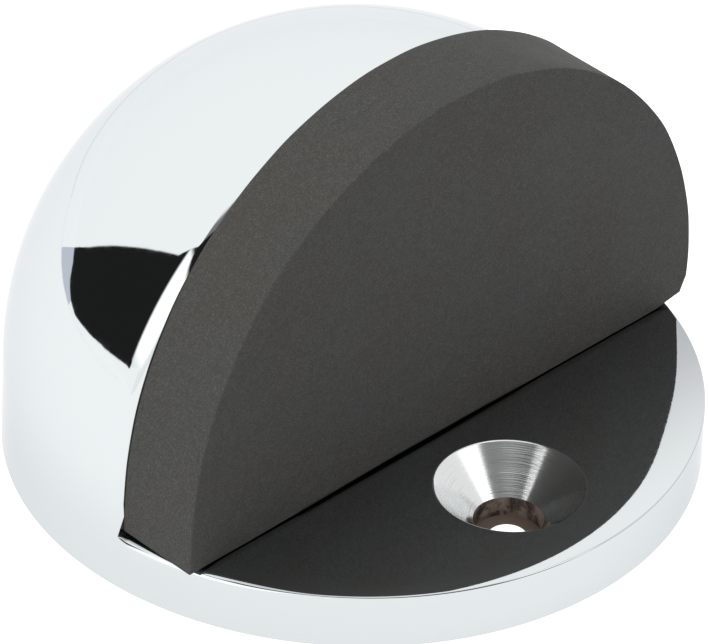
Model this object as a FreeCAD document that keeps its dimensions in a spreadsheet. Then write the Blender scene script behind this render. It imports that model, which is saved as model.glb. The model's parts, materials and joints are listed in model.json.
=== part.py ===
import FreeCAD, Part
import Sketcher
import math
import os
import re

from FreeCAD import Placement, Rotation, Vector

# Half-moon floor door stop: chrome-plated casting, rubber buffer, and the fixings that hold the buffer.
#
# Millimetres. The origin is the middle of the round base, on the floor. +Z is up, and a door arrives
# against the buffer from -Y. The dome is the half of the object at +Y.

SIZES = {
    # casting
    "base_radius": 22.5,
    "wall_rise": 6.2,
    "flange_thick": 4.0,
    "face_setback": 1.5,
    "web_thick": 2.6,
    "shell_thick": 2.2,
    "rim_round": 1.0,
    "flange_round": 0.4,
    "recess_depth": 1.4,
    "recess_border": 2.6,
    # screw hole
    "hole_setback": 14.4,
    "hole_shift": -0.45,
    "bore_dia": 4.5,
    "sink_dia": 9.7,
    "sink_angle": 90.0,
    "boss_dia": 12.0,
    # buffer
    "buffer_thick": 6.0,
    "buffer_arc": 22.5,
    "buffer_middle": 7.2,
    "buffer_shift": 0.5,
    "foot_right": 20.6,
    "corner_rise": 0.9,
    "buffer_bevel": 0.2,
    # studs, washers and nuts
    "stud_spread": 20.0,
    "stud_height": 13.0,
    "stud_dia": 4.0,
    "stud_hole": 4.5,
    "head_dia": 9.0,
    "head_thick": 1.2,
    "head_cover": 2.4,
    "stud_reach": 6.3,
    "stud_tip": 0.5,
    "washer_dia": 9.0,
    "washer_bore": 4.3,
    "washer_thick": 0.8,
    "nut_width": 7.0,
    "nut_thick": 3.2,
    "nut_bevel": 0.5,
    "bevel_drop": 0.75,
}
MARGIN = 2.0
NEAR = 1e-4

doc = FreeCAD.newDocument("door_stop")
sheet = doc.addObject("Spreadsheet::Sheet", "Sizes")
PROBE = "D1"


def fill_sheet():
    """One row for each driving size: its name, its value and its alias."""
    for row, (name, value) in enumerate(SIZES.items(), start=1):
        sheet.set("A%d" % row, name)
        sheet.set("B%d" % row, str(value))
        sheet.setAlias("B%d" % row, name)
    doc.recompute()


def bound(expression):
    """The expression with each size's name pointing into the sheet."""
    return re.sub(r"[a-z_]+", lambda word: "Sizes." + word[0] if word[0] in SIZES else word[0], expression)


def number(expression):
    """The expression's present value, worked out by the sheet."""
    sheet.set(PROBE, "=" + expression)
    doc.recompute([sheet])
    return float(sheet.get(PROBE))


def new_body(name):
    body = doc.addObject("PartDesign::Body", name)
    body.Label = name
    return body


def new_sketch(body, name, role, offset="0"):
    """A sketch on one of the body's origin planes, moved along the plane's normal by offset."""
    plane = [feature for feature in body.Origin.OriginFeatures if feature.Role == role][0]
    sketch = body.newObject("Sketcher::SketchObject", name)
    sketch.AttachmentSupport = [(plane, "")]
    sketch.MapMode = "FlatFace"
    sketch.setExpression("AttachmentOffset.Base.z", bound(offset))
    return sketch


def pin(sketch, kind, edge, point, expression):
    """Hold one coordinate of a sketch point at the expression's value."""
    index = sketch.addConstraint(Sketcher.Constraint(kind, -1, 1, edge, point, number(expression)))
    sketch.setExpression("Constraints[%d]" % index, bound(expression))


def outline(sketch, points, arcs=None):
    """A closed outline through points, given anticlockwise. arcs maps an edge to its arc's centre."""
    arcs = arcs or {}
    places = [Vector(number(across), number(up), 0) for across, up in points]
    count = len(points)
    for edge in range(count):
        start, end = places[edge], places[(edge + 1) % count]
        if edge not in arcs:
            sketch.addGeometry(Part.LineSegment(start, end))
            continue
        centre = Vector(number(arcs[edge][0]), number(arcs[edge][1]), 0)
        circle = Part.Circle(centre, Vector(0, 0, 1), (start - centre).Length)
        angles = [math.atan2(place.y - centre.y, place.x - centre.x) for place in (start, end)]
        sketch.addGeometry(Part.ArcOfCircle(circle, angles[0], angles[1]))
    for edge in range(count):
        sketch.addConstraint(Sketcher.Constraint("Coincident", edge, 2, (edge + 1) % count, 1))
    for edge, (across, up) in enumerate(points):
        before = (edge - 1) % count
        if before not in arcs:
            pin(sketch, "DistanceX", edge, 1, across)
            pin(sketch, "DistanceY", edge, 1, up)
            continue
        radius = places[edge] - Vector(number(arcs[before][0]), number(arcs[before][1]), 0)
        if abs(radius.y) > abs(radius.x):
            pin(sketch, "DistanceX", edge, 1, across)
        else:
            pin(sketch, "DistanceY", edge, 1, up)
    for edge, (across, up) in arcs.items():
        pin(sketch, "DistanceX", edge, 3, across)
        pin(sketch, "DistanceY", edge, 3, up)


def ring(sketch, across, up, diameter):
    """A circle held by its centre and its diameter."""
    centre = Vector(number(across), number(up), 0)
    edge = sketch.addGeometry(Part.Circle(centre, Vector(0, 0, 1), number(diameter) / 2))
    pin(sketch, "DistanceX", edge, 3, across)
    pin(sketch, "DistanceY", edge, 3, up)
    index = sketch.addConstraint(Sketcher.Constraint("Diameter", edge, number(diameter)))
    sketch.setExpression("Constraints[%d]" % index, bound(diameter))


def feature(body, kind, name, sketch, expect, **settings):
    """A feature made from a sketch. expect is +1 where it adds material and -1 where it removes some."""
    before = body.Shape.Volume if body.Tip else 0.0
    made = body.newObject("PartDesign::" + kind, name)
    made.Profile = sketch
    for setting, value in settings.items():
        if isinstance(value, str) and setting in ("Length", "Angle"):
            made.setExpression(setting, bound(value))
        else:
            setattr(made, setting, value)
    sketch.Visibility = False
    doc.recompute()
    change = body.Shape.Volume - before
    if change * expect <= 0:
        raise ValueError("%s changed the volume by %.3f" % (name, change))
    return made


def spin(body, kind, name, sketch, expect):
    """A full turn of a sketch about its own vertical axis."""
    return feature(body, kind, name, sketch, expect, ReferenceAxis=(sketch, ["V_Axis"]), Angle=360.0)


def dress_edges(body, kind, name, setting, size, chosen):
    """A fillet or a chamfer on the edges of the body's last feature that the test chosen accepts."""
    base = body.Tip
    edges = ["Edge%d" % (i + 1) for i, edge in enumerate(base.Shape.Edges) if chosen(edge)]
    if not edges:
        raise ValueError(name + " found no edges")
    dressing = body.newObject("PartDesign::" + kind, name)
    dressing.Base = (base, edges)
    dressing.setExpression(setting, bound(size))
    doc.recompute()


def round_edges(body, name, radius, chosen):
    dress_edges(body, "Fillet", name, "Radius", radius, chosen)


def bevel_edges(body, name, size, chosen):
    dress_edges(body, "Chamfer", name, "Size", size, chosen)


def lies_on(edge, test):
    """Whether the edge's ends and middle all pass the test."""
    first, last = edge.ParameterRange
    return all(test(edge.valueAt(first + (last - first) * share)) for share in (0.0, 0.5, 1.0))


def near(one, other):
    return abs(one - other) < NEAR


def dome_outline(radius):
    """Half of the dome's upright section: a straight wall, then a quarter circle to the crown."""
    points = [("0", "0"), (radius, "0"), (radius, "wall_rise"), ("0", "wall_rise + " + radius)]
    return points, {2: ("0", "wall_rise")}


def make_casting():
    """Dome, flange and front web in one casting, hollow from below behind the web."""
    body = new_body("body_casting")

    sketch = new_sketch(body, "dome_section", "XZ_Plane")
    outline(sketch, *dome_outline("base_radius"))
    spin(body, "Revolution", "dome", sketch, +1)

    sketch = new_sketch(body, "core_section", "XZ_Plane")
    outline(sketch, *dome_outline("base_radius - shell_thick"))
    spin(body, "Groove", "core", sketch, -1)

    # the web's outline ends halfway through the shell, so that the two merge
    inner = "base_radius - shell_thick / 2"
    sketch = new_sketch(body, "web_outline", "XZ_Plane", "face_setback")
    outline(
        sketch,
        [("-(%s)" % inner, "0"), (inner, "0"), (inner, "wall_rise"), ("-(%s)" % inner, "wall_rise")],
        {2: ("0", "wall_rise")},
    )
    feature(body, "Pad", "web", sketch, +1, Length="web_thick", Reversed=True)

    front = "-base_radius - %g" % MARGIN
    above = "base_radius + wall_rise + %g" % MARGIN
    below = "-%g" % MARGIN
    sketch = new_sketch(body, "front_space", "YZ_Plane", "-base_radius - %g" % MARGIN)
    outline(sketch, [(front, below), ("-face_setback", below), ("-face_setback", above), (front, above)])
    feature(body, "Pocket", "front_cut", sketch, -1, Length="2 * base_radius + %g" % (2 * MARGIN), Reversed=True)

    face = -SIZES["face_setback"]

    def on_rim(place):
        rise = max(place.z - SIZES["wall_rise"], 0.0)
        reach = math.hypot(math.hypot(place.x, place.y), rise)
        return near(place.y, face) and near(reach, SIZES["base_radius"])

    round_edges(body, "rim_fillet", "rim_round", lambda edge: lies_on(edge, on_rim))

    sketch = new_sketch(body, "flange_section", "XZ_Plane")
    outline(
        sketch,
        [
            ("0", "0"),
            ("base_radius", "0"),
            ("base_radius", "flange_thick - flange_round"),
            ("base_radius - flange_round", "flange_thick"),
            ("0", "flange_thick"),
        ],
        {2: ("base_radius - flange_round", "flange_thick - flange_round")},
    )
    feature(body, "Revolution", "flange", sketch, +1,
            ReferenceAxis=(sketch, ["V_Axis"]), Angle=180.0, Reversed=True)

    recess = "base_radius - recess_border"
    sketch = new_sketch(body, "recess_outline", "XY_Plane")
    foot = "-face_setback - recess_border"
    reach = "sqrt((%s) ^ 2 - (face_setback + recess_border) ^ 2)" % recess
    outline(sketch, [("-" + reach, foot), (reach, foot)], {0: ("0", "0")})
    feature(body, "Pocket", "underside_recess", sketch, -1, Length="recess_depth", Reversed=True)

    sketch = new_sketch(body, "boss_outline", "XY_Plane")
    ring(sketch, "hole_shift", "-hole_setback", "boss_dia")
    feature(body, "Pad", "screw_boss", sketch, +1, Length="recess_depth")

    sketch = new_sketch(body, "stud_hole_outline", "XZ_Plane", "face_setback")
    for side in ("-", ""):
        ring(sketch, side + "stud_spread / 2", "stud_height", "stud_hole")
    feature(body, "Pocket", "stud_holes", sketch, -1, Length="web_thick")

    sketch = new_sketch(body, "screw_hole_centre", "XY_Plane", "flange_thick")
    ring(sketch, "hole_shift", "-hole_setback", "bore_dia")
    doc.recompute()
    before = body.Shape.Volume
    hole = body.newObject("PartDesign::Hole", "screw_hole")
    hole.Profile = sketch
    doc.recompute()
    hole.Threaded = False
    hole.DepthType = "ThroughAll"
    hole.setExpression("Diameter", bound("bore_dia"))
    hole.HoleCutType = "Countersink"
    hole.HoleCutCustomValues = True
    hole.setExpression("HoleCutDiameter", bound("sink_dia"))
    hole.setExpression("HoleCutCountersinkAngle", bound("sink_angle"))
    sketch.Visibility = False
    doc.recompute()
    if body.Shape.Volume >= before:
        raise ValueError("screw_hole removed nothing")
    return body


def make_buffer():
    """The rubber slab, with the space that its two bonded studs fill.

    The arc runs straight down into the foot at the left, and its lower corner is cut away at the right.
    """
    body = new_body("rubber_buffer")
    sketch = new_sketch(body, "buffer_outline", "XZ_Plane", "face_setback")
    left = "buffer_shift - buffer_arc"
    reach = "sqrt(buffer_arc ^ 2 - (buffer_middle - flange_thick - corner_rise) ^ 2)"
    outline(
        sketch,
        [
            (left, "flange_thick"),
            ("foot_right", "flange_thick"),
            ("buffer_shift + " + reach, "flange_thick + corner_rise"),
            (left, "buffer_middle"),
        ],
        {2: ("buffer_shift", "buffer_middle")},
    )
    feature(body, "Pad", "slab", sketch, +1, Length="buffer_thick")

    front = -(SIZES["face_setback"] + SIZES["buffer_thick"])
    bevel_edges(body, "front_bevel", "buffer_bevel",
                lambda edge: lies_on(edge, lambda place: near(place.y, front)))

    head_top = "face_setback + head_cover"
    sketch = new_sketch(body, "shank_outline", "XZ_Plane", head_top)
    for side in ("-", ""):
        ring(sketch, side + "stud_spread / 2", "stud_height", "stud_dia")
    feature(body, "Pocket", "shank_space", sketch, -1, Length="head_cover")

    sketch = new_sketch(body, "head_outline", "XZ_Plane", head_top + " + head_thick")
    for side in ("-", ""):
        ring(sketch, side + "stud_spread / 2", "stud_height", "head_dia")
    feature(body, "Pocket", "head_space", sketch, -1, Length="head_thick")
    return body


def turned(name, points):
    """A body turned about a line along Y. Each point is a distance from that line and a place on it."""
    body = new_body(name)
    sketch = new_sketch(body, name + "_section", "XY_Plane")
    outline(sketch, points)
    spin(body, "Revolution", name + "_turned", sketch, +1)
    return body


def make_stud():
    """A flat head that the rubber holds, and a shank that passes through the web."""
    head_front = "-(face_setback + head_cover + head_thick)"
    head_back = "-(face_setback + head_cover)"
    return turned("stud", [
        ("0", head_front),
        ("head_dia / 2", head_front),
        ("head_dia / 2", head_back),
        ("stud_dia / 2", head_back),
        ("stud_dia / 2", "stud_reach - stud_tip"),
        ("stud_dia / 2 - stud_tip", "stud_reach"),
        ("0", "stud_reach"),
    ])


def make_washer():
    inside = "web_thick - face_setback"
    outside = inside + " + washer_thick"
    return turned("washer", [
        ("washer_bore / 2", inside),
        ("washer_dia / 2", inside),
        ("washer_dia / 2", outside),
        ("washer_bore / 2", outside),
    ])


def make_nut():
    """A hexagon nut with bevelled corners on its outer face."""
    body = new_body("nut")
    seat = "web_thick - face_setback + washer_thick"
    sketch = new_sketch(body, "nut_outline", "XZ_Plane", "-(%s)" % seat)
    corner = "nut_width / sqrt(3)"
    outline(sketch, [
        (corner, "0"),
        (corner + " / 2", "nut_width / 2"),
        ("-%s / 2" % corner, "nut_width / 2"),
        ("-" + corner, "0"),
        ("-%s / 2" % corner, "-nut_width / 2"),
        (corner + " / 2", "-nut_width / 2"),
    ])
    feature(body, "Pad", "nut_block", sketch, +1, Length="nut_thick", Reversed=True)

    top = seat + " + nut_thick"
    sketch = new_sketch(body, "bevel_section", "XY_Plane")
    outline(sketch, [
        ("nut_width / 2", top),
        ("%s + nut_bevel" % corner, top + " - bevel_drop"),
        ("%s + nut_bevel" % corner, top + " + nut_bevel"),
        ("nut_width / 2", top + " + nut_bevel"),
    ])
    spin(body, "Groove", "nut_bevels", sketch, -1)

    sketch = new_sketch(body, "thread_outline", "XZ_Plane", "-(%s)" % seat)
    ring(sketch, "0", "0", "stud_dia")
    feature(body, "Pocket", "thread_bore", sketch, -1, Length="nut_thick")
    return body


def make_pair(name, body):
    """Two of the same fixing, one at each stud, in one node."""
    body.Placement = Placement(Vector(0, 0, 0), Rotation())
    body.setExpression("Placement.Base.x", bound("stud_spread / 2"))
    body.setExpression("Placement.Base.z", bound("stud_height"))
    other = doc.addObject("Part::Mirroring", body.Name + "_mirror")
    other.Source = body
    other.Normal = Vector(1, 0, 0)
    pair = doc.addObject("Part::Compound", name)
    pair.Label = name
    pair.Links = [body, other]
    return pair


def check():
    """Stop if any object failed to build."""
    for thing in doc.Objects:
        if "Invalid" in thing.State or "Error" in thing.State:
            raise ValueError("%s failed: %s" % (thing.Name, thing.State))


def write(nodes):
    """One STEP file for each node, named after its label."""
    os.makedirs("parts", exist_ok=True)
    for node in nodes:
        if node.Shape.isNull() or not node.Shape.isValid():
            raise ValueError(node.Label + " has no valid shape")
    for node in nodes:
        node.Shape.exportStep("parts/%s.step" % node.Label)
        box = node.Shape.BoundBox
        print("%-14s solids %d  volume %8.1f  x %.2f..%.2f  y %.2f..%.2f  z %.2f..%.2f" % (
            node.Label, len(node.Shape.Solids), node.Shape.Volume,
            box.XMin, box.XMax, box.YMin, box.YMax, box.ZMin, box.ZMax))


fill_sheet()
nodes = [
    make_casting(),
    make_buffer(),
    make_pair("buffer_studs", make_stud()),
    make_pair("stud_washers", make_washer()),
    make_pair("stud_nuts", make_nut()),
]
sheet.clear(PROBE)
doc.recompute()
check()
write(nodes)
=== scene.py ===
"""Chrome half-moon door stop with a rubber buffer, on a pale floor in a white studio.

The frame is the CAD model's, in metres: +Z is up, a door arrives from -Y, and the dome is at +Y.
Sizes of the meshes are in millimetres, and MM turns them into metres.
Azimuth 0 looks along +Y, and a negative azimuth stands the viewer to the left of that.
"""
import json
import math

import bmesh
import bpy
from mathutils import Matrix, Vector, noise
from mathutils.geometry import delaunay_2d_cdt


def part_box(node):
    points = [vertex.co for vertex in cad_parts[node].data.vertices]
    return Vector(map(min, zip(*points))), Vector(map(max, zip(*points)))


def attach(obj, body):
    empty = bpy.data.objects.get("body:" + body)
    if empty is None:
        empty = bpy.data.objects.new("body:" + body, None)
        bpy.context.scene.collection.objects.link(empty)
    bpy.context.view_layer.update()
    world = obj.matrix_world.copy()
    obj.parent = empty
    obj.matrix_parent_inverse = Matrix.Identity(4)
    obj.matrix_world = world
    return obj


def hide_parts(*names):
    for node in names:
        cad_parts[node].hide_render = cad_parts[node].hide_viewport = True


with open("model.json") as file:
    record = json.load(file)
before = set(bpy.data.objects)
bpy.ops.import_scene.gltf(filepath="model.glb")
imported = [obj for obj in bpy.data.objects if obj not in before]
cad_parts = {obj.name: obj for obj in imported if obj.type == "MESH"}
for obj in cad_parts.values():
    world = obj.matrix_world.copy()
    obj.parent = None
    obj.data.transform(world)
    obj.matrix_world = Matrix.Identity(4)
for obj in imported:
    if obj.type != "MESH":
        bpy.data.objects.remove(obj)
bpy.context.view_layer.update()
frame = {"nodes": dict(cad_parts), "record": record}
MM = 0.001
ROOT = "root"

# sizes read from the frame
casting_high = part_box("body_casting")[1] / MM
buffer_low, buffer_high = (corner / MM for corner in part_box("rubber_buffer"))
washers_low, washers_high = (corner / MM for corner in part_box("stud_washers"))
screw_hole = next(mount for mount in frame["record"]["mounts"] if mount["name"] == "screw_hole")

RADIUS = casting_high.y
WALL_RISE = casting_high.z - RADIUS
FLANGE_TOP = buffer_low.z
FACE = buffer_high.y
WEB_REAR = washers_low.y
STUD_Z = (washers_low.z + washers_high.z) / 2
STUD_X = washers_high.x - (washers_high.z - washers_low.z) / 2
HOLE_X = screw_hole["pos_m"][0] / MM
HOLE_Y = screw_hole["pos_m"][1] / MM
BORE_RADIUS = screw_hole["dims"]["r_mm"]
BORE_TOP = screw_hole["dims"]["length_mm"]

# casting, where the frame gives no number
SHELL = 2.2
ROLL_RADIUS = 4.0
ROLL_TURN = 12.5
RIM_RADIUS = 0.85
EDGE_ROLL_WIDTH = 2.2
EDGE_ROLL_TURN = 8.0
EDGE_RADIUS = 0.15
WORN_RADIUS = 0.6  # the edge's radius at the left, reached between these two places along X
WORN_FROM = -17.5
WORN_TO = -21.3
EDGE_START = 0.6  # the edge grows from sharp to rolled over this distance ahead of the web's face
FOOT_BREAK = 0.15
STUD_HOLE_RADIUS = 2.25
RECESS_DEPTH = 1.4
RECESS_BORDER = 2.6
BOSS_RADIUS = 6.0
SINK_BREAK = 0.2
TURNING_PITCH = 0.16  # the tool's rings in the countersink
TURNING_DEPTH = 0.0025
TURNING_FADE = 0.2
TURNING_SLOPE_STEP = 0.01
PAINTED_SHADE_REACH = 15.0  # how far ahead of the buffer the painted shade on the flange's top goes

# how finely the casting is cut, and its material slots
TURN_STEPS = 120
FLANGE_STEPS = 100
HOLE_STEPS = 160
STUD_STEPS = 48
WELD = 0.0005
PLACE_WELD = 1e-6
INSIDE_OUTLINE = 1  # Blender's number for keeping only the faces inside the outer loop
POLISHED, TURNED, DRILLED, AS_CAST = range(4)

# buffer
FOOT_RIGHT = 20.1
CORNER_OUT = 22.4
CORNER_UP = 0.3
SHOULDER_UP = 1.4
SIDE_HOLLOW = 0.22  # the arc's left end is this much hollow, from this angle on
HOLLOW_FROM = 135.0
HOLLOW_SPAN = 150.0  # the part of a sine's half wave that the hollow follows
BUFFER_ROUND = 0.12
BUFFER_LIFT = 0.08
REAR_LIFT = 0.22
BOW_RISE = 0.15
BOW_DEPTH = 1.2
BOW_MIDDLE = -3.0
BOW_HALF = 16.0
OUTLINE_WAVE = 0.05
FACE_WAVE = 0.02
CAP_MIDDLE_DROP = 4.0  # the two faces are rings about a middle this far below the slab's own
CAP_SHARES = (0.0, 0.12, 0.25, 0.4, 0.55, 0.7, 0.82, 0.91, 0.96, 0.985)

# studio: brightness
BACK_LEVEL = 1.11
FRONT_LEVEL = 0.22
DARK_LEVEL = 0.014
FLOOR_LEVEL = 0.92
CAMERA_LIFT = 0.3  # how much brighter the floor is to the camera than in reflections
WINDOW_LEVELS = (1.0, 1.4)
LAMP_SPREAD = 80.0

# studio: the seam in the floor, the painted shade under the object with a painted spot of light under the
# screw hole, and the cards
SEAM_BACK = 165.0
SEAM_SIDE = 66.0
SEAM_SLANT = (0.926, 0.383, 0.0)  # the seam's slanted stretch lies across this direction, this far out
SEAM_REACH = 61.5
SEAM_WIDTH = 4.0
SEAM_DIM = 0.8
# painted light: a bright spot on the floor under the screw hole, inside the painted shade
PAINTED_SPOT_RADIUS = 1.25
PAINTED_SPOT_BLUR = 0.04
PAINTED_SHADE_RADII = (RADIUS - 1.0, RADIUS - 0.6)  # painted shade: the floor is dark inside these
FLOOR_RADIUS = 3000.0
CARD_Y = 165.0

# camera
VIEW_AZIMUTH = -46.36
VIEW_ELEVATION = 35.73
VIEW_ROLL = 2.29
VIEW_DISTANCE = 700.0
AIM_RIGHT = 0.17
AIM_UP = 7.18
FIELD_WIDTH = 45.47
SENSOR_WIDTH = 36.0
CLIP_NEAR = 10.0
CLIP_FAR = 20000.0


# ---- small helpers ----

def cos(degrees):
    return math.cos(math.radians(degrees))


def sin(degrees):
    return math.sin(math.radians(degrees))


def spread(first, last, steps):
    """steps + 1 numbers from first to last."""
    return [first + (last - first) * step / steps for step in range(steps + 1)]


def smooth(share):
    """0 below 0, 1 above 1, and smooth between."""
    share = min(max(share, 0.0), 1.0)
    return share * share * (3 - 2 * share)


def circle_loop(radius, x, y, steps):
    """Places round a circle, anticlockwise, without the first one again."""
    angles = [360 * k / steps for k in range(steps)]
    return [(x + radius * cos(angle), y + radius * sin(angle)) for angle in angles]


def direction(azimuth, elevation):
    """The unit vector from the object towards a viewer at that azimuth and elevation."""
    level = cos(elevation)
    return Vector((sin(azimuth) * level, -cos(azimuth) * level, sin(elevation)))


def link(name, data):
    thing = bpy.data.objects.new(name, data)
    bpy.context.scene.collection.objects.link(thing)
    return thing


# ---- shader trees ----

class Nodes:
    """Short spellings for building one shader tree."""

    def __init__(self, tree):
        self.tree = tree
        tree.nodes.clear()

    def add(self, kind, inputs=None, **settings):
        node = self.tree.nodes.new(kind)
        for name, value in settings.items():
            setattr(node, name, value)
        for name, value in (inputs or {}).items():
            self.feed(node.inputs[name], value)
        return node

    def feed(self, socket, value):
        """Link the socket to another one, or set its number, vector or colour."""
        if isinstance(value, bpy.types.NodeSocket):
            self.tree.links.new(value, socket)
        elif socket.type == "RGBA":
            socket.default_value = (*value, 1.0)
        else:
            socket.default_value = value

    def math(self, operation, first, second=0.0):
        return self.add("ShaderNodeMath", {0: first, 1: second}, operation=operation).outputs[0]

    def dot(self, first, second):
        node = self.add("ShaderNodeVectorMath", {0: first, 1: second}, operation="DOT_PRODUCT")
        return node.outputs["Value"]

    def step(self, value, low, high, start=0.0, end=1.0):
        """A smooth step: start below low, end above high."""
        inputs = {"Value": value, "From Min": low, "From Max": high, "To Min": start, "To Max": end}
        node = self.add("ShaderNodeMapRange", inputs, interpolation_type="SMOOTHSTEP")
        return node.outputs["Result"]

    def noise(self, place, scale, detail=2.0, roughness=0.5):
        inputs = {"Vector": place, "Scale": scale, "Detail": detail, "Roughness": roughness}
        return self.add("ShaderNodeTexNoise", inputs).outputs["Fac"]

    def mix(self, share, first, second):
        """A colour between first and second."""
        node = self.add("ShaderNodeMix", {"Factor": share}, data_type="RGBA")
        ends = [socket for socket in node.inputs if socket.type == "RGBA"]
        for socket, value in zip(ends, (first, second)):
            self.feed(socket, value)
        return next(socket for socket in node.outputs if socket.type == "RGBA")

    def bump(self, height, strength, distance, normal=None):
        node = self.add("ShaderNodeBump", {"Height": height, "Strength": strength, "Distance": distance})
        if normal is not None:
            self.feed(node.inputs["Normal"], normal)
        return node.outputs["Normal"]

    def place(self):
        """The place on the object, in metres."""
        return self.add("ShaderNodeTexCoord").outputs["Object"]

    def from_hole(self, place):
        """The place measured from the screw hole's middle on the floor."""
        move = (-HOLE_X * MM, -HOLE_Y * MM, 0)
        return self.add("ShaderNodeVectorMath", {0: place, 1: move}, operation="ADD").outputs[0]

    def length(self, place):
        return self.add("ShaderNodeVectorMath", {0: place}, operation="LENGTH").outputs["Value"]


def material(name, make):
    """A material with one Principled shader, whose inputs the function make returns by name."""
    made = bpy.data.materials.new(name)
    made.use_nodes = True
    nodes = Nodes(made.node_tree)
    shader = nodes.add("ShaderNodeBsdfPrincipled")
    output = nodes.add("ShaderNodeOutputMaterial")
    nodes.feed(output.inputs["Surface"], shader.outputs[0])
    for socket, value in make(nodes).items():
        nodes.feed(shader.inputs[socket], value)
    return made


def chrome(nodes):
    """Polished plating: slight waves from the casting under it, a fine haze, painted shade that darkens it
    towards the bottom, and painted shade on the flange's top.

    The painted shade on the flange's top is darkest where the buffer meets it, and fades ahead of it.
    """
    place = nodes.place()
    parts = nodes.add("ShaderNodeSeparateXYZ", {0: place})
    height = parts.outputs["Z"]
    # painted shade: the plating is darker towards the bottom, for the shaded floor mirrored in the wall
    out_of_painted_low_shade = nodes.step(height, 2.0 * MM, 9.0 * MM)
    plating = nodes.mix(out_of_painted_low_shade, (0.70, 0.735, 0.745), (0.75, 0.787, 0.795))
    # painted shade: the plating is darkened on the flange's top, darkest where the buffer meets it
    ahead = nodes.math("SUBTRACT", buffer_low.y * MM, parts.outputs["Y"])
    near = nodes.step(ahead, -0.2 * MM, 1.6 * MM, 1.0, 0.0)
    wide = nodes.step(ahead, 0.5 * MM, PAINTED_SHADE_REACH * MM, 0.62, 0.0)
    flange_painted_shade = nodes.math("MAXIMUM", near, wide)
    # only on the flange's top, ahead of the web
    for value, low, high, start, end in (
        (ahead, -6.0, -5.5, 0.0, 1.0),
        (height, FLANGE_TOP - 0.25, FLANGE_TOP - 0.1, 0.0, 1.0),
        (height, FLANGE_TOP + 0.01, FLANGE_TOP + 0.02, 1.0, 0.0),
    ):
        flange_painted_shade = nodes.math("MULTIPLY", flange_painted_shade, nodes.step(value, low * MM, high * MM, start, end))
    wave = nodes.noise(place, scale=90.0, detail=1.0)
    haze = nodes.noise(place, scale=2500.0, detail=3.0)
    waved = nodes.bump(wave, strength=0.06, distance=0.4 * MM)
    return {
        "Base Color": nodes.mix(flange_painted_shade, plating, (0.22, 0.22, 0.23)),
        "Metallic": 1.0,
        "Specular Tint": (0.86, 0.87, 0.885),
        "Roughness": nodes.step(haze, 0.3, 0.7, 0.02, 0.045),
        "Normal": nodes.bump(haze, strength=0.02, distance=0.02 * MM, normal=waved),
    }


def turned_metal(nodes):
    """The countersink: cut after plating, with rings from the tool."""
    place = nodes.place()
    parts = nodes.add("ShaderNodeSeparateXYZ", {0: nodes.from_hole(place)})
    flat = nodes.add("ShaderNodeCombineXYZ", {"X": parts.outputs["X"], "Y": parts.outputs["Y"]})
    reach = nodes.length(flat.outputs[0])
    line = nodes.add("ShaderNodeCombineXYZ", {"X": reach}).outputs[0]
    rings = nodes.noise(line, scale=9000.0, detail=3.0, roughness=0.7)
    cloud = nodes.noise(place, scale=500.0, detail=3.0)
    scored = nodes.math("MULTIPLY", nodes.step(rings, 0.5, 0.72), nodes.step(cloud, 0.4, 0.6))
    return {
        "Base Color": nodes.mix(scored, (0.88, 0.9, 0.9), (0.42, 0.41, 0.39)),
        "Metallic": 1.0,
        "Roughness": nodes.step(rings, 0.35, 0.65, 0.1, 0.2),
        "Anisotropic": 0.5,
        "Normal": nodes.bump(rings, strength=0.05, distance=0.02 * MM),
    }


def drilled_metal(nodes):
    """The bore under the countersink: dull and brownish, with torn metal."""
    cloud = nodes.noise(nodes.place(), scale=900.0, detail=5.0, roughness=0.7)
    shade = nodes.step(cloud, 0.38, 0.62)
    return {
        "Base Color": nodes.mix(shade, (0.03, 0.02, 0.015), (0.22, 0.17, 0.14)),
        "Metallic": 0.35,
        "Roughness": nodes.step(cloud, 0.3, 0.7, 0.4, 0.65),
        "Normal": nodes.bump(cloud, strength=0.8, distance=0.15 * MM),
    }


def cast_chrome(nodes):
    """The underside: plated too, but as it was cast."""
    skin = nodes.noise(nodes.place(), scale=1800.0, detail=4.0, roughness=0.6)
    return {
        "Base Color": nodes.mix(skin, (0.42, 0.43, 0.44), (0.6, 0.61, 0.62)),
        "Metallic": 1.0,
        "Roughness": nodes.step(skin, 0.3, 0.7, 0.35, 0.55),
        "Normal": nodes.bump(skin, strength=0.5, distance=0.08 * MM),
    }


def rubber(nodes):
    """Matt moulded rubber: a fine grain, pale flecks, faint brown clouds and a few specks of dust."""
    place = nodes.place()
    grain = nodes.noise(place, scale=6500.0, detail=3.0, roughness=0.7)
    fleck = nodes.noise(place, scale=9500.0, detail=2.0, roughness=0.6)
    mottle = nodes.noise(place, scale=2600.0, detail=4.0, roughness=0.75)
    cloud = nodes.noise(place, scale=130.0, detail=3.0)
    speck = nodes.noise(place, scale=5200.0, detail=1.0)
    dust = nodes.step(speck, 0.76, 0.82, 0.0, 0.4)
    brown = nodes.step(cloud, 0.35, 0.65)
    clean = nodes.mix(brown, (0.0235, 0.0255, 0.025), (0.028, 0.0265, 0.0235))
    pale = nodes.mix(nodes.step(mottle, 0.35, 0.7, 0.0, 0.35), clean, (0.050, 0.049, 0.045))
    flecked = nodes.mix(nodes.step(fleck, 0.45, 0.7, 0.0, 0.5), pale, (0.075, 0.072, 0.065))
    mottled = nodes.bump(mottle, strength=0.12, distance=0.06 * MM)
    return {
        "Base Color": nodes.mix(dust, flecked, (0.16, 0.15, 0.13)),
        "Roughness": nodes.step(cloud, 0.3, 0.7, 0.66, 0.76),
        "Specular IOR Level": 0.3,
        "Normal": nodes.bump(grain, strength=0.7, distance=0.05 * MM, normal=mottled),
    }


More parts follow.
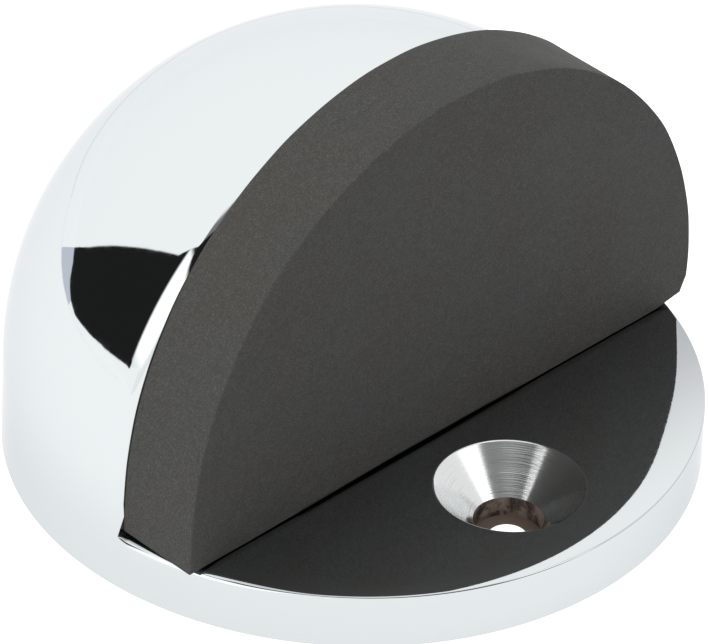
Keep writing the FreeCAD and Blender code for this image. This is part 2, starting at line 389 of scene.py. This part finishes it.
def zinc(nodes):
    """Dull zinc plating, on the studs, washers and nuts."""
    cloud = nodes.noise(nodes.place(), scale=900.0, detail=3.0)
    return {
        "Base Color": nodes.mix(cloud, (0.50, 0.52, 0.54), (0.62, 0.63, 0.64)),
        "Metallic": 1.0,
        "Roughness": nodes.step(cloud, 0.3, 0.7, 0.25, 0.42),
    }


# ---- the casting ----

def holds(loop, place):
    """Whether a place lies inside a closed loop."""
    found = False
    for k, (x, y) in enumerate(loop):
        last_x, last_y = loop[k - 1]
        if (y > place.y) == (last_y > place.y):
            continue
        crossing = x + (last_x - x) * (place.y - y) / (last_y - y)
        if place.x < crossing:
            found = not found
    return found


class Skin:
    """A mesh made of patches that meet edge to edge, each with its own exact normals."""

    def __init__(self):
        self.points, self.normals, self.faces, self.slots = [], [], [], []

    def grid(self, rows, slot=POLISHED):
        """Quads between neighbouring rows of (point, normal) pairs."""
        start, width = len(self.points), len(rows[0])
        for row in rows:
            self.points += [point for point, normal in row]
            self.normals += [normal for point, normal in row]
        for i in range(len(rows) - 1):
            for j in range(width - 1):
                corner = start + i * width + j
                self.faces.append((corner, corner + 1, corner + width + 1, corner + width))
                self.slots.append(slot)

    def flat(self, loops, lift, normal, slot=POLISHED):
        """A flat patch inside the first loop and outside the others. lift turns (across, up) into space."""
        start, places, edges = len(self.points), [], []
        for loop in loops:
            first = len(places)
            places += [Vector(place) for place in loop]
            edges += [(first + k, first + (k + 1) % len(loop)) for k in range(len(loop))]
        places, _, faces = delaunay_2d_cdt(places, edges, [], INSIDE_OUTLINE, PLACE_WELD)[:3]
        for face in faces:
            middle = sum((places[corner] for corner in face), Vector((0, 0))) / len(face)
            if not any(holds(loop, middle) for loop in loops[1:]):
                self.faces.append(tuple(start + corner for corner in face))
                self.slots.append(slot)
        self.points += [Vector(lift(place.x, place.y)) for place in places]
        self.normals += [Vector(normal)] * len(places)

    def build(self, name, materials):
        """One welded object in metres, riding on the root body."""
        mesh = bpy.data.meshes.new(name)
        mesh.from_pydata([point * MM for point in self.points], [], self.faces)
        for made in materials:
            mesh.materials.append(made)
        for polygon, slot in zip(mesh.polygons, self.slots):
            polygon.material_index = slot
            polygon.use_smooth = True
        exact = mesh.attributes.new("exact", "FLOAT_VECTOR", "CORNER")
        for loop in mesh.loops:
            exact.data[loop.index].vector = self.normals[loop.vertex_index]
        build = bmesh.new()
        build.from_mesh(mesh)
        bmesh.ops.remove_doubles(build, verts=build.verts, dist=WELD * MM)
        bmesh.ops.recalc_face_normals(build, faces=build.faces)
        build.to_mesh(mesh)
        build.free()
        corners = mesh.attributes["exact"].data
        mesh.normals_split_custom_set([corner.vector.normalized() for corner in corners])
        mesh.attributes.remove(mesh.attributes["exact"])
        piece = link(name, mesh)
        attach(piece, ROOT)
        return piece


def rim_section():
    """The outer skin from the dome's back to the web's face, as (reach, y, normal out, normal along y).

    A circle about the middle, then a wide arc where the polishing wheel rolled over, then the rim's own arc.
    """
    inner = RADIUS - ROLL_RADIUS
    drop = ROLL_RADIUS - RIM_RADIUS
    start = math.degrees(math.asin((FACE + RIM_RADIUS + drop * sin(ROLL_TURN)) / inner))
    roll = inner * cos(start), inner * sin(start)
    rim = roll[0] + drop * cos(ROLL_TURN), roll[1] - drop * sin(ROLL_TURN)
    section = [(RADIUS * cos(a), RADIUS * sin(a), cos(a), sin(a)) for a in spread(90, start, steps=60)]
    for centre, radius, angles in (
        (roll, ROLL_RADIUS, spread(start, -ROLL_TURN, steps=12)),
        (rim, RIM_RADIUS, spread(-ROLL_TURN, -90, steps=14)),
    ):
        for a in angles[1:]:
            section.append((centre[0] + radius * cos(a), centre[1] + radius * sin(a), cos(a), sin(a)))
    return section


def edge_section(radius):
    """The flange's rolled edge, as (distance in from the wall, drop below the top, normal out, normal up).

    The roll's tilt grows with the square of the distance from its inner end, so reflections bend smoothly.
    """
    fall = math.radians(EDGE_ROLL_TURN) * EDGE_ROLL_WIDTH / 3
    low = fall + radius * cos(EDGE_ROLL_TURN)
    section = [(0.0, low, 1.0, 0.0)]
    for a in spread(90, EDGE_ROLL_TURN, steps=12)[1:]:
        section.append((radius * (1 - sin(a)), low - radius * cos(a), sin(a), cos(a)))
    start = section[-1][0]
    for share in spread(1, 0, steps=16)[1:]:
        tilt = EDGE_ROLL_TURN * share ** 2
        inset = start + EDGE_ROLL_WIDTH * (1 - share)
        section.append((inset, fall * share ** 3, sin(tilt), cos(tilt)))
    return section


def flange_edge(angle):
    """The edge at one angle: sharp beside the dome, rolled in front, and rounder at the worn left."""
    share = smooth((FACE - RADIUS * sin(angle)) / EDGE_START)
    worn = smooth((RADIUS * cos(angle) - WORN_FROM) / (WORN_TO - WORN_FROM))
    section = edge_section(EDGE_RADIUS + (WORN_RADIUS - EDGE_RADIUS) * worn)
    return [(inset * share, drop * share, out, up) for inset, drop, out, up in section]


def countersink_section():
    """The lip and the cone, from the flange's top down to the bore, as (reach, z, normal out, normal up)."""
    sink = BORE_RADIUS + FLANGE_TOP - BORE_TOP
    lip = sink + SINK_BREAK * (math.sqrt(2) - 1)
    section = []
    for a in spread(0, 45, steps=4):
        section.append((lip - SINK_BREAK * sin(a), FLANGE_TOP - SINK_BREAK * (1 - cos(a)), -sin(a), cos(a)))
    top_reach, top_z = section[-1][:2]
    length = (top_reach - BORE_RADIUS) * math.sqrt(2)
    steps = int(length / TURNING_PITCH * 8)

    def height(along):
        """How far the tool's rings stand off the cone, none at its two ends."""
        fade = min(along, length - along, TURNING_FADE) / TURNING_FADE
        return TURNING_DEPTH * fade * noise.noise(Vector((along / TURNING_PITCH * 2, 3.1, 7.7)))

    for along in spread(0, length, steps)[1:]:
        rise = height(along)
        change = height(along + TURNING_SLOPE_STEP) - height(along - TURNING_SLOPE_STEP)
        slope = change / (2 * TURNING_SLOPE_STEP)
        reach = top_reach - (along + rise) / math.sqrt(2)
        level = top_z - (along - rise) / math.sqrt(2)
        normal = Vector((-1 + slope, 1 + slope)).normalized()
        section.append((reach, level, normal.x, normal.y))
    return section


def add_dome(skin, section, slot=POLISHED):
    """The section turned about the line along Y at the top of the wall."""
    rows = []
    for reach, y, out, ahead in section:
        row = []
        for turn in spread(-90, 90, TURN_STEPS):
            point = Vector((reach * sin(turn), y, WALL_RISE + reach * cos(turn)))
            row.append((point, Vector((out * sin(turn), ahead, out * cos(turn)))))
        rows.append(row)
    skin.grid(rows, slot)


def add_side_walls(skin, section, back):
    """The dome's straight sides. The rim's roll dies away down them, so they meet the flange's circle."""
    for side in (-1, 1):
        rows = []
        for (reach, y, out, ahead), angle in zip(section, back):
            high = Vector((side * reach, y, WALL_RISE))
            high_normal = Vector((side * out, ahead, 0))
            low = Vector((side * RADIUS * cos(angle), y, FLANGE_TOP))
            low_normal = Vector((side * cos(angle), sin(angle), 0))
            row = []
            for share in spread(0, 1, steps=6):
                row.append((low.lerp(high, share), low_normal.lerp(high_normal, share).normalized()))
            rows.append(row)
        skin.grid(rows)


def add_round_wall(skin, around, edges):
    """The base's wall, from its slightly rounded foot up to the flange's edge, or to the dome's wall."""
    rows = []
    for angle in around:
        out = Vector((cos(angle), sin(angle), 0))
        row = []
        for a in spread(0, 90, steps=3):
            reach = RADIUS - FOOT_BREAK * (1 - sin(a))
            level = FOOT_BREAK * (1 - cos(a))
            row.append((out * reach + Vector((0, 0, level)), out * sin(a) - Vector((0, 0, cos(a)))))
        drop = edges[angle][0][1] if angle in edges else 0.0
        row.append((out * RADIUS + Vector((0, 0, FLANGE_TOP - drop)), out))
        rows.append(row)
    skin.grid(rows)


def about_hole(reach, z, out, up):
    """A ring of points about the screw hole's line."""
    ring = []
    for a in spread(0, 360, HOLE_STEPS):
        point = Vector((HOLE_X + reach * cos(a), HOLE_Y + reach * sin(a), z))
        ring.append((point, Vector((out * cos(a), out * sin(a), up))))
    return ring


def add_flange(skin, front, edges):
    """The flange's rolled edge, its top, and the screw hole down to the floor."""
    ledge = []
    for angle in front:
        out = Vector((cos(angle), sin(angle), 0))
        row = []
        for inset, drop, level, up in edges[angle]:
            point = out * (RADIUS - inset) + Vector((0, 0, FLANGE_TOP - drop))
            row.append((point, out * level + Vector((0, 0, up))))
        ledge.append(row)
    skin.grid(ledge)
    sink = countersink_section()
    top_loop = [row[-1][0].xy for row in ledge]
    hole_loop = circle_loop(sink[0][0], HOLE_X, HOLE_Y, HOLE_STEPS)
    skin.flat([top_loop, hole_loop], lambda x, y: (x, y, FLANGE_TOP), (0, 0, 1))
    skin.grid([about_hole(*place) for place in sink], TURNED)
    skin.grid([about_hole(BORE_RADIUS, z, -1, 0) for z in (BORE_TOP, 0)], DRILLED)


def add_web(skin, face_reach, hollow_reach):
    """The web's two faces, and its stud holes."""
    turns = spread(-90, 90, TURN_STEPS)
    stud_loops = [circle_loop(STUD_HOLE_RADIUS, side * STUD_X, STUD_Z, STUD_STEPS) for side in (-1, 1)]
    foot_reach = math.sqrt(RADIUS ** 2 - FACE ** 2)
    for reach, foot, y, low, ahead, slot in (
        (face_reach, foot_reach, FACE, FLANGE_TOP, -1, POLISHED),
        (hollow_reach, hollow_reach, WEB_REAR, 0.0, 1, AS_CAST),
    ):
        arch = [(reach * sin(turn), WALL_RISE + reach * cos(turn)) for turn in turns]
        outline = [(-foot, low), *arch, (foot, low)]
        skin.flat([outline, *stud_loops], lambda x, z, y=y: (x, y, z), (0, ahead, 0), slot)
    for loop in stud_loops:
        normals = [Vector((-cos(a), 0, -sin(a))) for a in spread(0, 360, STUD_STEPS)]
        rows = []
        for y in (FACE, WEB_REAR):
            rows.append([(Vector((x, y, z)), normal) for (x, z), normal in zip(loop + loop[:1], normals)])
        skin.grid(rows, AS_CAST)


def add_hollow(skin, inner):
    """The hollow of the dome, down to the floor."""
    add_dome(skin, inner, AS_CAST)
    for side in (-1, 1):
        rows = []
        for reach, y, out, ahead in inner:
            normal = Vector((side * out, ahead, 0))
            rows.append([(Vector((side * reach, y, z)), normal) for z in (0, WALL_RISE)])
        skin.grid(rows, AS_CAST)


def add_underside(skin, around, inner):
    """The foot that stands on the floor, the recess in front, and the screw boss in it."""
    foot = RADIUS - FOOT_BREAK
    outer_loop = [(foot * cos(angle), foot * sin(angle)) for angle in around[:-1]]
    hollow_loop = [(reach, y) for reach, y, _, _ in inner]
    hollow_loop += [(-reach, y) for reach, y, _, _ in reversed(inner[1:])]
    recess = RADIUS - RECESS_BORDER
    recess_y = FACE - RECESS_BORDER
    turn_in = math.degrees(math.asin(recess_y / recess))
    recess_loop = [(recess * cos(a), recess * sin(a)) for a in spread(turn_in, -180 - turn_in, steps=96)]
    boss_loop = circle_loop(BOSS_RADIUS, HOLE_X, HOLE_Y, HOLE_STEPS)
    bore_loop = circle_loop(BORE_RADIUS, HOLE_X, HOLE_Y, HOLE_STEPS)
    for loops, z in (
        ([outer_loop, hollow_loop, recess_loop], 0),
        ([recess_loop, boss_loop], RECESS_DEPTH),
        ([boss_loop, bore_loop], 0),
    ):
        skin.flat(loops, lambda x, y, z=z: (x, y, z), (0, 0, -1), AS_CAST)
    curved, straight = [], []
    for x, y in recess_loop:
        normal = Vector((-x, -y, 0)).normalized()
        curved.append([(Vector((x, y, z)), normal) for z in (0, RECESS_DEPTH)])
    for x in (recess_loop[0][0], recess_loop[-1][0]):
        straight.append([(Vector((x, recess_y, z)), Vector((0, -1, 0))) for z in (0, RECESS_DEPTH)])
    skin.grid(curved, AS_CAST)
    skin.grid(straight, AS_CAST)
    skin.grid([about_hole(BOSS_RADIUS, z, 1, 0) for z in (0, RECESS_DEPTH)], AS_CAST)


def make_casting():
    """Dome, flange and web in one closed skin, hollow from below."""
    outer = rim_section()
    inside = RADIUS - SHELL
    lowest = math.degrees(math.asin(WEB_REAR / inside))
    inner = [(inside * cos(a), inside * sin(a), -cos(a), -sin(a)) for a in spread(90, lowest, steps=48)]

    # angles round the base: back goes from the rear to the web on the right, front from there to the left
    back = [math.degrees(math.asin(y / RADIUS)) for _, y, _, _ in outer]
    front = spread(back[-1], -90, FLANGE_STEPS)
    front += [-180 - angle for angle in reversed(front[:-1])]
    around = [180 - angle for angle in reversed(back)][:-1] + back + front[1:]
    edges = {angle: flange_edge(angle) for angle in front}

    skin = Skin()
    add_dome(skin, outer)
    add_side_walls(skin, outer, back)
    add_round_wall(skin, around, edges)
    add_flange(skin, front, edges)
    add_web(skin, outer[-1][0], math.sqrt(inside ** 2 - WEB_REAR ** 2))
    add_hollow(skin, inner)
    add_underside(skin, around, inner)
    piece = skin.build("casting_skin", [
        material("chrome_polished", chrome),
        material("metal_turned", turned_metal),
        material("metal_drilled", drilled_metal),
        material("chrome_as_cast", cast_chrome),
    ])
    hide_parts("body_casting")


# ---- the buffer ----

def polyline(corners, counts):
    """Points along straight runs, each run cut into its count of steps, without the last point."""
    places = []
    for start, end, count in zip(corners, corners[1:], counts):
        places += [start.lerp(end, k / count) for k in range(count)]
    return places


def buffer_outline(arc_steps):
    """Points round the half-moon, anticlockwise seen from the front: the foot, the right corner, the arc.

    The arc is slightly hollow at its left end.
    """
    arc = (buffer_high.x - buffer_low.x) / 2
    middle = Vector((buffer_low.x + arc, buffer_high.z - arc))
    shoulder = FLANGE_TOP + SHOULDER_UP - middle.y
    shoulder_angle = math.degrees(math.asin(shoulder / arc))
    corners = [
        Vector((buffer_low.x, FLANGE_TOP)),
        Vector((FOOT_RIGHT, FLANGE_TOP)),
        Vector((CORNER_OUT, FLANGE_TOP + CORNER_UP)),
        middle + arc * Vector((cos(shoulder_angle), sin(shoulder_angle))),
    ]
    places = polyline(corners, counts=(60, 6, 8))
    for a in spread(shoulder_angle, 180, arc_steps):
        along = max(a - HOLLOW_FROM, 0.0) / (180 - HOLLOW_FROM)
        dent = SIDE_HOLLOW * sin(along * HOLLOW_SPAN)
        places.append(middle + (arc - dent) * Vector((cos(a), sin(a))))
    return places + polyline([places[-1], corners[0]], counts=(8,))[1:]


def foot_lift(x, share, depth):
    """How far the foot stands off the flange: more at the rear, and in a shallow bow along the front."""
    across = min(max((x - BOW_MIDDLE) / BOW_HALF, -1.0), 1.0)
    bow = BOW_RISE * cos(90 * across) ** 2 * max(1 - depth / BOW_DEPTH, 0.0)
    return BUFFER_LIFT + REAR_LIFT * share + bow


def buffer_rings(thick):
    """The rings of the slab from its front face's middle to its rear's, as (size share, inset, depth)."""
    front = [(share, 0.0, 0.0) for share in CAP_SHARES]
    for a in spread(0, 90, steps=4):
        front.append((1.0, BUFFER_ROUND * (1 - sin(a)), BUFFER_ROUND * (1 - cos(a))))
    side = [(1.0, 0.0, depth) for depth in spread(BUFFER_ROUND, thick - BUFFER_ROUND, steps=12)[1:-1]]
    rear = [(share, inset, thick - depth) for share, inset, depth in reversed(front)]
    return front + side + rear


def make_buffer():
    """The rubber slab: crisp moulded edges, an uneven outline, and a foot that doesn't quite touch."""
    outline = buffer_outline(arc_steps=240)
    count = len(outline)
    outward = []
    for k in range(count):
        along = (outline[(k + 1) % count] - outline[k - 1]).normalized()
        outward.append(Vector((along.y, -along.x)))
    middle = Vector((
        (buffer_low.x + buffer_high.x) / 2,
        (FLANGE_TOP + buffer_high.z) / 2 - CAP_MIDDLE_DROP,
    ))
    thick = FACE - buffer_low.y
    build = bmesh.new()
    rows = []
    for share, inset, depth in buffer_rings(thick):
        y = buffer_low.y + depth
        row = []
        for place, out in zip(outline, outward):
            here = middle + (place - out * inset - middle) * share
            wave = noise.noise(Vector((here.x * 0.35, y * 0.25, here.y * 0.35)))
            here += out * wave * OUTLINE_WAVE * share ** 8
            ripple = FACE_WAVE * noise.noise(Vector((here.x * 0.3, 9.0 + y, here.y * 0.3)))
            low = FLANGE_TOP + foot_lift(here.x, depth / thick, depth)
            row.append(build.verts.new(Vector((here.x, y + ripple, max(here.y, low))) * MM))
        rows.append(row)
    for one, other in zip(rows, rows[1:]):
        for k in range(count):
            following = (k + 1) % count
            build.faces.new((one[k], one[following], other[following], other[k]))
    bmesh.ops.remove_doubles(build, verts=build.verts, dist=WELD * MM)
    bmesh.ops.dissolve_degenerate(build, edges=build.edges, dist=WELD * MM)
    bmesh.ops.recalc_face_normals(build, faces=build.faces)
    mesh = bpy.data.meshes.new("buffer_slab")
    build.to_mesh(mesh)
    build.free()
    for polygon in mesh.polygons:
        polygon.use_smooth = True
    mesh.materials.append(material("rubber_matt", rubber))
    piece = link("buffer_slab", mesh)
    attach(piece, ROOT)
    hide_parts("rubber_buffer")


# ---- studio ----

def make_camera():
    back = direction(VIEW_AZIMUTH, VIEW_ELEVATION)
    level = Vector((cos(VIEW_AZIMUTH), sin(VIEW_AZIMUTH), 0.0))
    upright = back.cross(level)
    right = level * cos(VIEW_ROLL) + upright * sin(VIEW_ROLL)
    up = upright * cos(VIEW_ROLL) - level * sin(VIEW_ROLL)
    data = bpy.data.cameras.new("camera")
    data.sensor_width = SENSOR_WIDTH
    data.lens = SENSOR_WIDTH * VIEW_DISTANCE / FIELD_WIDTH
    data.clip_start = CLIP_NEAR * MM
    data.clip_end = CLIP_FAR * MM
    camera = link("camera", data)
    turn = Matrix((right, up, back)).transposed().to_4x4()
    place = right * AIM_RIGHT + up * AIM_UP + back * VIEW_DISTANCE
    camera.matrix_world = Matrix.Translation(place * MM) @ turn
    bpy.context.scene.camera = camera


def make_world():
    """Bright behind and overhead, dim in front, with a window on the left and spots on the right.

    A dark wedge on the left, from the horizon up, cuts into all but the window.
    """
    world = bpy.data.worlds.new("studio")
    bpy.context.scene.world = world
    world.use_nodes = True
    nodes = Nodes(world.node_tree)
    place = nodes.add("ShaderNodeTexCoord").outputs["Generated"]

    def side(pole, offset, blur):
        """1 on the pole's side of a circle about the pole, 0 on the other."""
        toward = nodes.dot(place, Vector(pole).normalized())
        return nodes.step(toward, offset - blur, offset + blur)

    def both(first, second):
        """Lit only where both are."""
        return nodes.math("MULTIPLY", first, second)

    def spot(azimuth, elevation, edge, middle, strength):
        """A round patch of light, from nothing at the edge's cosine to full strength at the middle's."""
        return nodes.step(nodes.dot(place, direction(azimuth, elevation)), edge, middle, 0.0, strength)

    level = both(side((0, 1, 0), 0.02, 0.06), BACK_LEVEL)
    for light in (
        spot(75, 12, 0.52, 0.74, 0.82),
        spot(28, 41, 0.955, 0.985, 1.5),
        spot(0, 90, 0.80, 0.90, BACK_LEVEL),
        FRONT_LEVEL,
    ):
        level = nodes.math("MAXIMUM", level, light)
    wedge = both(side((-0.77, -0.17, -0.62), 0.018, 0.005), side((0.175, 0.175, 0.969), 0.0, 0.005))
    level = both(level, nodes.math("SUBTRACT", 1.0, wedge))
    window = both(side(direction(-28, 0), 0.0, 0.05), side((-0.569, 0.164, -0.807), -0.14, 0.03))
    height = nodes.dot(place, (0.0, 0.0, 1.0))
    window = both(window, nodes.step(height, 0.1, 0.2, *WINDOW_LEVELS))
    level = nodes.math("MAXIMUM", level, window)
    level = nodes.math("MAXIMUM", level, DARK_LEVEL)
    background = nodes.add("ShaderNodeBackground", {"Color": (1.0, 1.0, 1.0), "Strength": level})
    output = nodes.add("ShaderNodeOutputWorld")
    nodes.feed(output.inputs["Surface"], background.outputs[0])


def make_lamps():
    """Wide soft lamps that only matt surfaces answer to, so the chrome doesn't show them."""
    for name, azimuth, elevation, strength in (
        ("lamp_left", -88, 25, 2.6),
        ("lamp_front", -5, 10, 0.6),
        ("lamp_top", 60, 72, 1.3),
    ):
        data = bpy.data.lights.new(name, "SUN")
        data.energy = strength
        data.angle = math.radians(LAMP_SPREAD)
        lamp = link(name, data)
        lamp.rotation_mode = "QUATERNION"
        lamp.rotation_quaternion = direction(azimuth, elevation).to_track_quat("Z", "Y")
        lamp.visible_glossy = False


def make_card(name, colour, corners):
    """An upright card behind the object on the left, out of the camera's view. corners are (x, z) places."""
    mesh = bpy.data.meshes.new(name)
    points = [Vector((x, CARD_Y, z)) * MM for x, z in corners]
    mesh.from_pydata(points, [], [tuple(range(len(points)))])
    mesh.materials.append(material(name, lambda nodes: {
        "Base Color": (0.0, 0.0, 0.0),
        "Roughness": 1.0,
        "Specular IOR Level": 0.0,
        "Emission Color": colour,
        "Emission Strength": 1.0,
    }))
    card = link(name, mesh)
    card.visible_camera = False
    card.visible_shadow = False
    card.visible_diffuse = False


def make_cards():
    """A black card that darkens one patch of the dome, and a grey one that meets it along its near side."""
    side = [(-88, 4), (-79, 6), (-72, 8), (-62, 14), (-51, 16)]
    top = [(-68, 34), (-343, 52), (-343, 39)]
    foot = [(-196, 19), (-142, 9), (-104, 3)]
    make_card("card_black", (DARK_LEVEL, DARK_LEVEL, DARK_LEVEL), side + top + foot)
    make_card("card_grey", (0.64, 0.67, 0.76), side + [(-35, 0), (-88, 0)])


def floor_white(nodes):
    """Nearly white, with a faint seam behind, and painted shade under the object but for a painted spot of
    light in the screw hole.

    The seam shows only in reflections, and the floor is brighter to the camera than it is there.
    """
    place = nodes.place()
    along = nodes.add("ShaderNodeSeparateXYZ", {0: place}).outputs["Y"]
    slant = nodes.math("SUBTRACT", SEAM_REACH * MM, nodes.dot(place, SEAM_SLANT))
    level = nodes.math("SUBTRACT", SEAM_SIDE * MM, along)
    back = nodes.math("SUBTRACT", SEAM_BACK * MM, along)
    corner = nodes.math("MINIMUM", back, nodes.math("MAXIMUM", slant, level))
    apart = nodes.math("ABSOLUTE", corner)
    seam = nodes.step(apart, 0.0, SEAM_WIDTH * MM, SEAM_DIM * FLOOR_LEVEL, FLOOR_LEVEL)
    from_middle = nodes.length(place)
    from_hole = nodes.length(nodes.from_hole(place))
    shade_low, shade_high = PAINTED_SHADE_RADII
    # painted shade under the object, dark brown and not glowing, but for a painted spot of light under the
    # screw hole
    outside_painted_shade = nodes.step(from_middle, shade_low * MM, shade_high * MM)
    spot_low, spot_high = PAINTED_SPOT_RADIUS - PAINTED_SPOT_BLUR, PAINTED_SPOT_RADIUS + PAINTED_SPOT_BLUR
    spot = nodes.step(from_hole, spot_low * MM, spot_high * MM, 1.0, 0.0)
    painted_lit = nodes.math("MAXIMUM", outside_painted_shade, spot)
    seen = nodes.add("ShaderNodeLightPath").outputs["Is Camera Ray"]
    return {
        "Base Color": nodes.mix(painted_lit, (0.10, 0.075, 0.06), (0.12, 0.12, 0.12)),
        "Roughness": 0.9,
        "Specular IOR Level": 0.0,
        "Emission Color": nodes.mix(painted_lit, (0.0, 0.0, 0.0), (1.0, 1.0, 1.0)),
        "Emission Strength": nodes.math("ADD", seam, nodes.math("MULTIPLY", seen, CAMERA_LIFT)),
    }


def make_floor():
    build = bmesh.new()
    bmesh.ops.create_circle(build, cap_ends=True, radius=FLOOR_RADIUS * MM, segments=128)
    mesh = bpy.data.meshes.new("floor")
    build.to_mesh(mesh)
    build.free()
    mesh.materials.append(material("floor_white", floor_white))
    link("floor", mesh)


bpy.context.scene.view_settings.view_transform = "Standard"
make_camera()
make_world()
make_lamps()
make_cards()
make_floor()
make_casting()
make_buffer()
plated = material("zinc_plate", zinc)
for name in ("buffer_studs", "stud_washers", "stud_nuts"):
    for slot in frame["nodes"][name].material_slots:
        slot.material = plated
